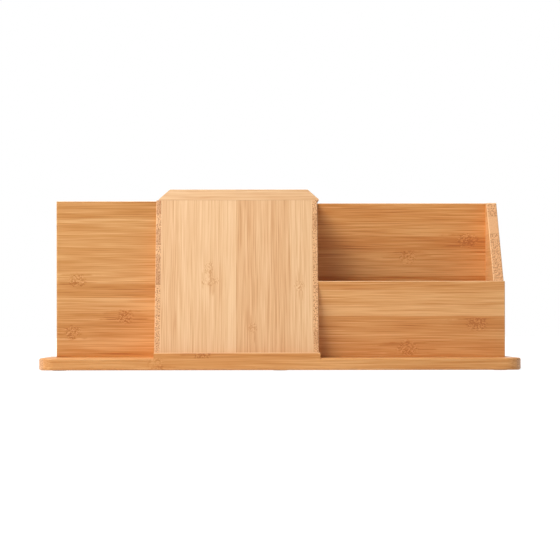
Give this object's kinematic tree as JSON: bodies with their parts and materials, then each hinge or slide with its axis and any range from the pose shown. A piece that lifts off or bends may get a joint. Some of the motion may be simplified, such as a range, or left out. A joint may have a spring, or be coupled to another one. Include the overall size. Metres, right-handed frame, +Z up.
{
  "type": "desk organizer",
  "caption": "Wide bamboo desk organizer: open compartments beside a middle box with a sloped device rest, a ledge and a bevelled lift lid on rear hinges.",
  "frame": {"origin": "middle of the footprint, on the surface that the organizer stands on", "axes": "+X to the right along the length, -Y to the front, +Z up"},
  "size_m": [0.48, 0.145, 0.184],
  "materials": {
    "bamboo_honey": "satin varnish",
    "bamboo_pale": "satin varnish",
    "dowel_beech": "raw",
    "brass": "brushed",
    "steel": "satin",
    "silicone": "matt"
  },
  "bodies": {
    "body": {"base_board": "bamboo_honey", "back_panel": "bamboo_honey", "left_front_panel": "bamboo_honey", "left_end_panel": "bamboo_honey", "box_left_side": "bamboo_pale", "box_right_side": "bamboo_pale", "device_rest_panel": "bamboo_pale", "rest_ledge": "bamboo_honey", "right_front_panel": "bamboo_honey", "right_end_panel": "bamboo_honey", "left_hinge_fixed_leaf": "brass", "left_hinge_pin": "steel", "right_hinge_fixed_leaf": "brass", "right_hinge_pin": "steel", "hinge_screws_fixed": "brass", "base_screws": "steel", "panel_dowels": "dowel_beech", "pad_front_left": "silicone", "pad_front_middle": "silicone", "pad_front_right": "silicone", "pad_rear_left": "silicone", "pad_rear_middle": "silicone", "pad_rear_right": "silicone"},
    "lid": {"lid_board": "bamboo_pale", "left_hinge_lid_leaf": "brass", "right_hinge_lid_leaf": "brass", "hinge_screws_lid": "brass"}
  },
  "joints": [
    {"name": "lid_hinge", "type": "hinge", "parent": "body", "child": "lid", "pos_m": [-0.0414, 0.0595, 0.17275], "axis": [-1, 0, 0], "range_deg": [0, 94]}
  ]
}
